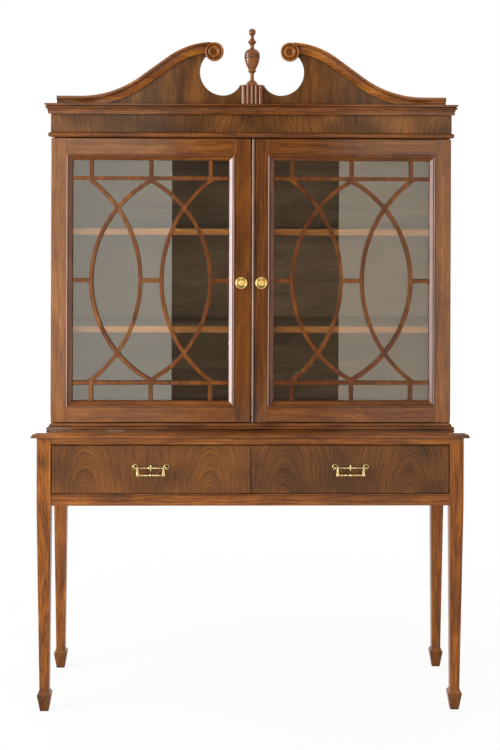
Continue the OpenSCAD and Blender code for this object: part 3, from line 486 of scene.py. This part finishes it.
def eased(node, finish, seed, tone, arris_mm):
    """A CAD node's shape with its triangles merged into whole faces and its arrises rounded over.

    seed and tone are its board's. Faces that look the way FACED says for the node get another finish.
    """
    flat = bmesh.new()
    flat.from_mesh(NODES[node].data)
    bmesh.ops.remove_doubles(flat, verts=flat.verts, dist=0.002 * MM)
    bmesh.ops.dissolve_limit(flat, angle_limit=math.radians(ONE_FACE_DEG), verts=flat.verts, edges=flat.edges)
    mesh = bpy.data.meshes.new("eased_" + node)
    flat.to_mesh(mesh)
    flat.free()
    mark(mesh, "board_seed", seed)
    mark(mesh, "board_tone", tone)
    piece = finished(node, mesh, FINISH[finish])
    if node in FACED:
        axis, sign, least, face_finish = FACED[node]
        mesh.materials.append(FINISH[face_finish])
        normals = np.empty(3 * len(mesh.polygons))
        mesh.polygons.foreach_get("normal", normals)
        looks = sign * normals[axis::3] if sign else np.abs(normals[axis::3])
        mesh.polygons.foreach_set("material_index", (looks > least).astype(np.int32))
    bevel = piece.modifiers.new("eased arrises", "BEVEL")
    bevel.width = arris_mm * MM
    bevel.segments = 2
    bevel.limit_method = "ANGLE"
    bevel.angle_limit = math.radians(ARRIS_DEG)
    weighted = piece.modifiers.new("flat faces", "WEIGHTED_NORMAL")
    weighted.keep_sharp = True
    weighted.weight = 100


# ---- brassware, in millimetres ----

LEVEL = np.array([1.0, 0.0, 0.0])
FORWARD = np.array([0.0, -1.0, 0.0])
UP = np.array([0.0, 0.0, 1.0])


def grid(points, patina_and_shade):
    """A sheet of quads through a (rows, columns, 3) array of points, with how browned each point is."""
    rows, columns = points.shape[:2]
    corner = np.arange(rows * columns).reshape(rows, columns)
    faces = np.stack([corner[:-1, :-1], corner[:-1, 1:], corner[1:, 1:], corner[1:, :-1]], axis=-1)
    patina_and_shade = np.asarray(patina_and_shade, dtype=float)
    marks = np.broadcast_to(patina_and_shade if patina_and_shade.ndim == 2 else patina_and_shade.reshape(-1, 1), (rows, columns))
    return points.reshape(-1, 3), faces.reshape(-1, 4), marks.reshape(-1)


def turned(outline, centre, axis, patina_and_shade, steps):
    """A turned form: each outline point (radius r, height h) swung about an axis through centre.

    The point at angle a is centre + h axis + r (cos a * u + sin a * v), with u and v square to the axis. How
    browned the piece is (tarnish, and on the ring pulls painted shade) is one number, one for each outline
    point, or one for each point and step.
    """
    radius, height = np.asarray(outline, dtype=float).T[:, :, None]
    u = UP if abs(axis[2]) < 0.5 else LEVEL
    v = np.cross(axis, u)
    angle = np.linspace(0, 2 * math.pi, steps + 1)[None, :]
    points = (height[..., None] * axis + (radius * np.cos(angle))[..., None] * u
              + (radius * np.sin(angle))[..., None] * v)
    return grid((np.asarray(centre) + points) * MM, patina_and_shade)


def squared_rod(rings, square=4.0, steps=24):
    """An upright rod through rings (x, y, z, half width, half depth), each a rounded rectangle.

    A ring's outline is |dx / half width|^square + |dy / half depth|^square = 1.
    """
    x, y, z, wide, deep = np.asarray(rings, dtype=float).T[:, :, None]
    angle = np.linspace(0, 2 * math.pi, steps + 1)[None, :]
    cos, sin = np.cos(angle), np.sin(angle)
    points = np.stack([x + wide * np.sign(cos) * np.abs(cos) ** (2 / square),
                       y + deep * np.sign(sin) * np.abs(sin) ** (2 / square), z + 0 * angle], axis=-1)
    return grid(points * MM, 0.0)


def arc(centre, radius, start, end, steps):
    """Outline points on an arc, its angles in degrees."""
    angle = np.radians(np.linspace(start, end, steps + 1))
    across = centre[0] + radius * np.cos(angle)
    along = centre[1] + radius * np.sin(angle)
    return np.stack([across, along], axis=-1).tolist()


def both_ends(half):
    """The outline of a rod that is the same from both ends, from the half with negative heights up to 0."""
    end = half[0][1]
    return [[0, end]] + half + [[radius, -height] for radius, height in half[-2::-1]] + [[0, -end]]


def box_mm(node):
    """The low and the high corner of a CAD node, in millimetres."""
    return [np.array(corner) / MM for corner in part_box(node)]


def cast(node, name, parts, finish):
    """Joins parts into one brass piece in place of a CAD node, with its seams merged and facing outwards."""
    counts = np.cumsum([0] + [len(points) for points, _, _ in parts])
    mesh = bpy.data.meshes.new(name)
    mesh.from_pydata(np.concatenate([points for points, _, _ in parts]).tolist(), [],
                     np.concatenate([faces + start for (_, faces, _), start in zip(parts, counts)]).tolist())
    mark(mesh, "patina_and_shade", np.concatenate([patina_and_shade for _, _, patina_and_shade in parts]))
    shell = bmesh.new()
    shell.from_mesh(mesh)
    bmesh.ops.remove_doubles(shell, verts=shell.verts, dist=0.005 * MM)
    bmesh.ops.recalc_face_normals(shell, faces=shell.faces)
    shell.to_mesh(mesh)
    shell.free()
    finished(node, mesh, FINISH[finish])


PULL_STEPS = 48
PLATE_R = 17.6
DOME_R = 80.0
BOSS_HIGH = 3.6
RING_R = 14.2
RING_WIRE = 1.9
RING_OUT = 3.4
RING_DROP = 1.4
KNUCKLE_SHADE_ANGLE = 0.62
KNUCKLE_SHADE_WIDTH = 0.25


def pull(hand):
    """Ring pull: a dished back plate with a low boss and a knuckle, and the ring that hangs from it.

    The plate and boss are one outline of (radius, height) turned about the door's forward axis, the knuckle
    is a barrel turned about the level one, and the ring is a small circle swung round a larger one. The dish
    is browned with tarnish, and further in its lower half and to either side of the knuckle, where the brown
    paints the shade under the hanging ring and the knuckle's shadow.
    """
    plate = "door_" + hand + "_pull_plate"
    low, high = box_mm(plate)
    centre = np.array([(low[0] + high[0]) / 2, high[1], low[2] + PLATE_R])
    boss = [[0, BOSS_HIGH]] + arc((0, BOSS_HIGH - DOME_R), DOME_R, 89, 83.8, 5) + [[9.0, 2.4], [9.3, 0.5]]
    dish = [[9.9, 0.4], [12.6, 0.4], [13.2, 1.0], [16.4, 1.2]]
    rim = [[17.2, 0.9], [PLATE_R, 0.3], [PLATE_R, 0], [0, 0]]
    patina_and_shade = [0.0] * (len(boss) - 1) + [0.9] + [1.0, 0.7, 0.45, 0.35] + [0.35, 0.35, 0.5, 0.5]
    from_top = np.linspace(0, 2 * math.pi, PULL_STEPS + 1)
    # painted shade: the dish darker towards its bottom, under the hanging ring
    under_ring_shade = np.clip(-0.3 - 1.5 * np.cos(from_top), 0.35, 1)
    # painted shadow to either side of the knuckle
    off_knuckle = np.minimum(from_top, 2 * math.pi - from_top) - KNUCKLE_SHADE_ANGLE
    knuckle_shadow = np.exp(-(off_knuckle / KNUCKLE_SHADE_WIDTH) ** 2)
    dish_only = [0.0] * len(boss) + [0.9] * len(dish) + [0.0] * len(rim)
    marks = np.outer(patina_and_shade, under_ring_shade) + np.outer(dish_only, knuckle_shadow)
    knuckle = centre + RING_OUT * FORWARD + (RING_R - RING_DROP) * UP
    barrel = [[2.6, -4.6], [3.1, -4.6], [3.5, -3.8], [3.6, 0], [3.5, 3.8], [3.1, 4.6], [2.6, 4.6],
              [2.6, -4.6]]
    parts = [turned(boss + dish + rim, centre, FORWARD, marks, PULL_STEPS),
             turned(barrel, knuckle, LEVEL, patina_and_shade=0.0, steps=24)]
    cast(plate, "pull_plate_" + hand, parts, "brass")
    middle = centre + RING_OUT * FORWARD - RING_DROP * UP
    wire = arc((RING_R, 0), RING_WIRE, 0, 360, 16)
    ring = turned(wire, middle, FORWARD, patina_and_shade=0.18, steps=PULL_STEPS)
    cast("door_" + hand + "_pull_ring", "pull_ring_" + hand, [ring], "brass")


POST_X = 44.0
PIVOT_OUT = 12.0
PIVOT_BELOW_TOP = 3.0
ROD_OUT = 2.6
ROD_DROP = 2.9
LEAF_OUT = 0.4
ARM_X = 36.5
BAIL_DROP = 21.5
ARM_FLARE = 0.8


def handle_plate(hand, pivot):
    """A drawer handle's fixed part: ringed rosettes with ball posts, and a turned rod with a leaf and a drop.

    Each is an outline of (radius, height) turned about its own axis: forward, level, up and down.
    """
    face = pivot - PIVOT_OUT * FORWARD
    parts = []
    for side in (-1, 1):
        rim = arc((6.6, 1.5), 1.6, -60, 200, 10)
        rosette = [[0, 0], [8.1, 0]] + rim + [[4.9, 0.5], [2.2, 0.5], [1.8, 3.5], [1.7, 8.6]]
        ball = arc((0, PIVOT_OUT), 3.1, -58, 90, 8)
        patina_and_shade = [0.3, 0.3] + [0.0] * len(rim) + [1.0, 1.0, 0.8, 0.6] + [0.0] * len(ball)
        parts.append(turned(rosette + ball, face + side * POST_X * LEVEL, FORWARD, patina_and_shade, steps=32))
    rod = face + ROD_OUT * FORWARD - ROD_DROP * UP
    beads = [[1.8, -38], [1.8, -17.2], [2.6, -16.4], [2.6, -15], [1.9, -14], [2.4, -11.5], [3.0, -9.4],
             [2.1, -8], [3.2, -6.5], [4.0, -4], [4.3, 0]]
    parts.append(turned(both_ends(beads), rod, LEVEL, patina_and_shade=0.0, steps=20))
    leaf = [[0, 2], [2.6, 3], [2.9, 5], [2.0, 7.4], [0.7, 9.6], [0, 11]]
    parts.append(turned(leaf, rod + LEAF_OUT * FORWARD, UP, patina_and_shade=0.0, steps=16))
    drop = [[0, 2], [1.8, 3], [2.2, 5], [1.2, 6.6], [1.5, 7.6], [0.6, 9.2], [0, 9.8]]
    parts.append(turned(drop, rod + LEAF_OUT * FORWARD, -UP, patina_and_shade=0.1, steps=16))
    cast("drawer_" + hand + "_handle_plate", "handle_plate_" + hand, parts, "worn_brass")


def bail(hand, pivot):
    """A drawer handle's moving part: a turned grip between two arms that hang on pins in the posts.

    The grip and the pins are outlines turned about the level axis, and each arm is a rod of rounded
    rectangles that swells at both ends.
    """
    grip = pivot - BAIL_DROP * UP
    beads = [[2.7, -36], [2.7, -19.4], [2.1, -18.6], [2.1, -17.6], [2.9, -16.6], [2.9, -7.6], [1.9, -6.6],
             [1.6, -5.4], [1.8, -3.6], [3.4, -2.6], [4.1, -1.2], [4.3, 0]]
    parts = [turned(both_ends(beads), grip, LEVEL, patina_and_shade=0.0, steps=24)]
    for side in (-1, 1):
        arm_x = pivot[0] + side * ARM_X
        flare = side * ARM_FLARE
        foot = [(flare, -3.0, 0, 0), (flare, -3.0, 3.6, 2.6), (flare, -1.0, 4.4, 3.0),
                (flare / 2, 3, 3.8, 2.8), (0, 8, 3.2, 2.6)]
        head = [(0, -3, 3.0, 2.6), (0, 1.6, 3.0, 2.8), (0, 2.8, 2.2, 2.0), (0, 3.0, 0, 0)]
        rings = [(arm_x + x, pivot[1], end + z, wide, deep)
                 for end, part in ((grip[2], foot), (pivot[2], head)) for x, z, wide, deep in part]
        parts.append(squared_rod(rings))
        pin = [[0, 0], [1.6, 0], [1.6, 10.4], [0, 10.4]]
        parts.append(turned(pin, (arm_x, pivot[1], pivot[2]), side * LEVEL, patina_and_shade=0.3, steps=16))
    cast("drawer_" + hand + "_bail", "bail_" + hand, parts, "worn_brass")


def handle(hand):
    """Both parts of a drawer handle, round the pivot line of its bail."""
    low, high = box_mm("drawer_" + hand + "_handle_plate")
    bail_top = box_mm("drawer_" + hand + "_bail")[1][2]
    pivot = np.array([(low[0] + high[0]) / 2, high[1] - PIVOT_OUT, bail_top - PIVOT_BELOW_TOP])
    handle_plate(hand, pivot)
    bail(hand, pivot)


# ---- every CAD node's finish and its board's shift of tone ----

PLAN = {
    "stand_top": ("rail", -0.08),
    "leg_front_left": ("leg", 0.0),
    "leg_front_right": ("leg", 0.0),
    "leg_back_left": ("leg", 0.06),
    "leg_back_right": ("leg", 0.02),
    "stand_side_rail_left": ("case_deep", 0.0),
    "stand_side_rail_right": ("case_deep", 0.0),
    "stand_back_rail": ("rail", 0.0),
    "stand_rail_over_drawers": ("rail", 0.06),
    "stand_rail_under_drawers": ("rail", -0.04),
    "drawer_divider": ("rail", 0.0),
    "drawer_runners": ("drawer_lining", 0.0),
    "plinth_moulding": ("plinth", -0.05),
    "carcase_bottom": ("inside", 0.0),
    # the left side is toned a little paler than the right: partly its own tone, and partly painted light from
    # the window on the left
    "carcase_side_left": ("door_upright", 0.06),
    "carcase_side_right": ("door_upright", 0.0),
    "carcase_top": ("inside", 0.0),
    "back_panel": ("inside", 0.0),
    "frieze_bead": ("moulding", -0.05),
    "frieze": ("frieze", 0.0),
    "cornice": ("moulding", -0.04),
    "pediment_board": ("crossband", 0.04),
    "pediment_moulding_left": ("swan", -0.09),
    "pediment_moulding_right": ("swan", 0.0),
    "pediment_rosettes": ("rosette", 0.03),
    "finial_block": ("turned", -0.15),
    "finial": ("finial", -0.07),
    "shelf_lower": ("inside", 0.02),
    "shelf_upper": ("inside", 0.02),
    "shelf_battens": ("inside", 0.0),
    "door_catches": ("iron", 0.0),
    "door_pivots": ("dull_brass", 0.0),
}
# each door's hinge stile is toned paler and its meeting stile darker: partly the boards' own tone, and partly
# painted light, the outer stiles lit more than the meeting stiles
for hand, shift in (("left", 0.0), ("right", -0.09)):
    door = "door_" + hand + "_"
    drawer = "drawer_" + hand + "_"
    PLAN.update({
        door + "hinge_stile": ("door_upright", shift + 0.04),
        door + "meeting_stile": ("bead_stile" if hand == "right" else "door_upright", shift - 0.13),
        door + "rails": ("door_level", shift - 0.03),
        door + "sight_moulding": ("sight", shift),
        door + "glazing_bars": ("bars", shift - 0.04),
        door + "glass": ("glass", 0.0),
        door + "pivot_sockets": ("dull_brass", 0.0),
        door + "pull_plate": ("brass", 0.0),
        door + "pull_ring": ("brass", 0.0),
        drawer + "front": ("veneer", 0.6 * shift),
        drawer + "box": ("drawer_lining", 0.0),
        drawer + "bottom": ("drawer_lining", 0.0),
        drawer + "handle_plate": ("worn_brass", 0.0),
        drawer + "bail": ("worn_brass", 0.0),
    })

# faces with a finish of their own: their axis, its sign (0 for both ways), how squarely they look that way
X, Y, Z = range(3)
FACED = {
    "shelf_lower": (Y, -1, 0.9, "shelf_edge"),
    "shelf_upper": (Y, -1, 0.9, "shelf_edge"),
    "stand_top": (Z, 1, 0.9, "stand_top"),
    # the meeting edges that face the gap between the doors are painted near black as its shade
    "door_left_meeting_stile": (X, 1, 0.9, "door_edge"),
    "door_right_meeting_stile": (X, -1, 0.98, "door_edge"),
    "door_left_sight_moulding": (Z, 0, 0.3, "sight_level"),
    "door_right_sight_moulding": (Z, 0, 0.3, "sight_level"),
}
NOT_WOOD = ("glass", "brass", "worn_brass", "dull_brass", "iron")
FINELY_MOULDED = ("moulding", "plinth", "swan", "sight")
ARRIS_MM = 0.9
FINE_ARRIS_MM = 0.4
SEED_GAP = 0.37

for number, (node, (finish, tone)) in enumerate(PLAN.items()):
    NODES[node].data.materials.clear()
    NODES[node].data.materials.append(FINISH[finish])
    if finish not in NOT_WOOD:
        arris_mm = FINE_ARRIS_MM if finish in FINELY_MOULDED else ARRIS_MM
        eased(node, finish, SEED_GAP * number, tone, arris_mm)
for hand in HANDS:
    pull(hand)
    handle(hand)


# ---- studio ----

FLOOR_SIZE = 24
FLOOR_NEAR = 0.5
FLOOR_FAR = 2.0
FLOOR_NEAR_WHITE = 0.88


def seen_directly(tree):
    """1 for the rays that see or mirror a surface, and 0 for those that gather its light."""
    path = add(tree, "ShaderNodeLightPath")
    seen = add(tree, "ShaderNodeMath", {0: path.outputs["Is Camera Ray"], 1: path.outputs["Is Glossy Ray"]},
               operation="MAXIMUM")
    return add(tree, "ShaderNodeMath", {0: seen.outputs[0], 1: path.outputs["Is Transmission Ray"]},
               operation="MAXIMUM").outputs[0]


def studio_floor():
    """A floor that is pale to see, where it keeps the object's shadow, and mid grey where it bounces light.

    Far off it is the plain white of the backdrop.
    """
    bpy.ops.mesh.primitive_plane_add(size=FLOOR_SIZE)
    floor = bpy.context.object
    floor.name = "studio_floor"
    material, tree, surface = new_material("pale_studio_floor")
    seen = seen_directly(tree)
    bounce = add(tree, "ShaderNodeMix", {0: seen}, {6: linear("#9a9a98"), 7: linear("#f4f4f2")},
                 data_type="RGBA")
    tree.links.new(bounce.outputs[2], surface.inputs["Base Color"])
    surface.inputs["Roughness"].default_value = 0.9
    white = add(tree, "ShaderNodeEmission", values={"Color": (1, 1, 1, 1), "Strength": 1.0})
    place = add(tree, "ShaderNodeTexCoord").outputs["Object"]
    away = add(tree, "ShaderNodeVectorMath", {0: place}, operation="LENGTH").outputs["Value"]
    far = add(tree, "ShaderNodeMapRange", {"Value": away},
              {"From Min": FLOOR_NEAR, "From Max": FLOOR_FAR, "To Min": FLOOR_NEAR_WHITE, "To Max": 1.0})
    share = product(tree, [seen, far.outputs[0]])
    mixed = add(tree, "ShaderNodeMixShader", {0: share, 1: surface.outputs[0], 2: white.outputs[0]})
    show(tree, mixed.outputs[0])
    floor.data.materials.append(material)


def studio_world():
    """White where it is seen or mirrored; where it lights, a soft fill that is stronger from above."""
    world = bpy.data.worlds.new("studio")
    bpy.context.scene.world = world
    world.use_nodes = True
    tree = world.node_tree
    tree.nodes.clear()
    direction = add(tree, "ShaderNodeTexCoord").outputs["Generated"]
    height = add(tree, "ShaderNodeSeparateXYZ", {0: direction}).outputs["Z"]
    strength = add(tree, "ShaderNodeMapRange", {"Value": height}, {"To Min": 0.30, "To Max": 1.0}).outputs[0]
    fill = add(tree, "ShaderNodeBackground", {"Strength": strength}, {"Color": (1.0, 0.98, 0.95, 1)})
    white = add(tree, "ShaderNodeBackground", values={"Color": (1, 1, 1, 1), "Strength": 1.0})
    seen = seen_directly(tree)
    mixed = add(tree, "ShaderNodeMixShader", {0: seen, 1: fill.outputs[0], 2: white.outputs[0]})
    add(tree, "ShaderNodeOutputWorld", {"Surface": mixed.outputs[0]})


def soft_box(name, place, aim, size, radiance, colour, lights=True, mirrored=True):
    """A soft lamp of one even brightness at a place, aimed at a point, that the camera doesn't see itself.

    It can light without being mirrored in polish and brass, or be mirrored without lighting.
    """
    light = bpy.data.lights.new(name, "AREA")
    light.shape = "RECTANGLE"
    light.size, light.size_y = size
    light.energy = radiance * math.pi * size[0] * size[1]
    light.color = linear(colour)[:3]
    lamp = bpy.data.objects.new(name, light)
    bpy.context.scene.collection.objects.link(lamp)
    lamp.location = place
    lamp.rotation_euler = (Vector(aim) - Vector(place)).to_track_quat("-Z", "Y").to_euler()
    lamp.visible_camera = False
    lamp.visible_diffuse = lights
    lamp.visible_glossy = mirrored


def black_flag(left, right, y, top):
    """A black card that stands between the front soft boxes, so that the panes mirror a dark gap there."""
    mesh = bpy.data.meshes.new("black_flag")
    mesh.from_pydata([(left, y, 0), (right, y, 0), (right, y, top), (left, y, top)], [], [(3, 2, 1, 0)])
    flag = bpy.data.objects.new("black_flag", mesh)
    bpy.context.scene.collection.objects.link(flag)
    material, _, surface = new_material("black_flag_cloth")
    surface.inputs["Base Color"].default_value = linear("#141414")
    mesh.materials.append(material)
    flag.visible_camera = flag.visible_diffuse = flag.visible_shadow = False


def studio_camera(place, turn_deg, roll_deg, lens_mm, shift_x, shift_y):
    """A camera that looks level from eye height, shifted down so that uprights stay upright."""
    lens = bpy.data.cameras.new("camera")
    lens.lens = lens_mm
    lens.sensor_width = 36
    lens.shift_x = shift_x
    lens.shift_y = shift_y
    camera = bpy.data.objects.new("camera", lens)
    bpy.context.scene.collection.objects.link(camera)
    camera.location = place
    camera.rotation_euler = (math.radians(90), math.radians(roll_deg), math.radians(turn_deg))
    bpy.context.scene.camera = camera


studio_camera(place=(-0.046, -4.21, 1.438), turn_deg=-1.25, roll_deg=-0.20, lens_mm=67.8, shift_x=-0.0218,
              shift_y=-0.228)
studio_world()
studio_floor()
soft_box("left_soft_box", place=(-2.99, -6.0, 1.6), aim=(-2.99, 0, 1.6), size=(5.0, 3.6), radiance=1.75,
         colour="#fff6e0")
soft_box("right_soft_box", place=(3.18, -6.0, 1.6), aim=(3.18, 0, 1.6), size=(5.0, 3.6), radiance=1.42,
         colour="#ffeac8")
soft_box("window_light", place=(-3.4, -1.7, 1.5), aim=(0, -0.2, 1.2), size=(1.4, 2.4), radiance=10.0,
         colour="#ffffff", mirrored=False)
soft_box("wide_window", place=(-3.4, -0.7, 1.7), aim=(0, -0.7, 1.7), size=(3.0, 3.0), radiance=14.0,
         colour="#f2f5ff", lights=False)
soft_box("window_edge", place=(-3.4, -2.6, 1.7), aim=(0, -2.6, 1.7), size=(0.8, 3.0), radiance=5.0,
         colour="#f2f5ff", lights=False)
soft_box("bright_backdrop", place=(0, 3.6, 1.4), aim=(0, 0, 1.0), size=(7.0, 2.8), radiance=1.9,
         colour="#ffffff", lights=False)
black_flag(left=-0.49, right=0.68, y=-5.99, top=3.4)
bpy.context.scene.view_settings.view_transform = "Standard"
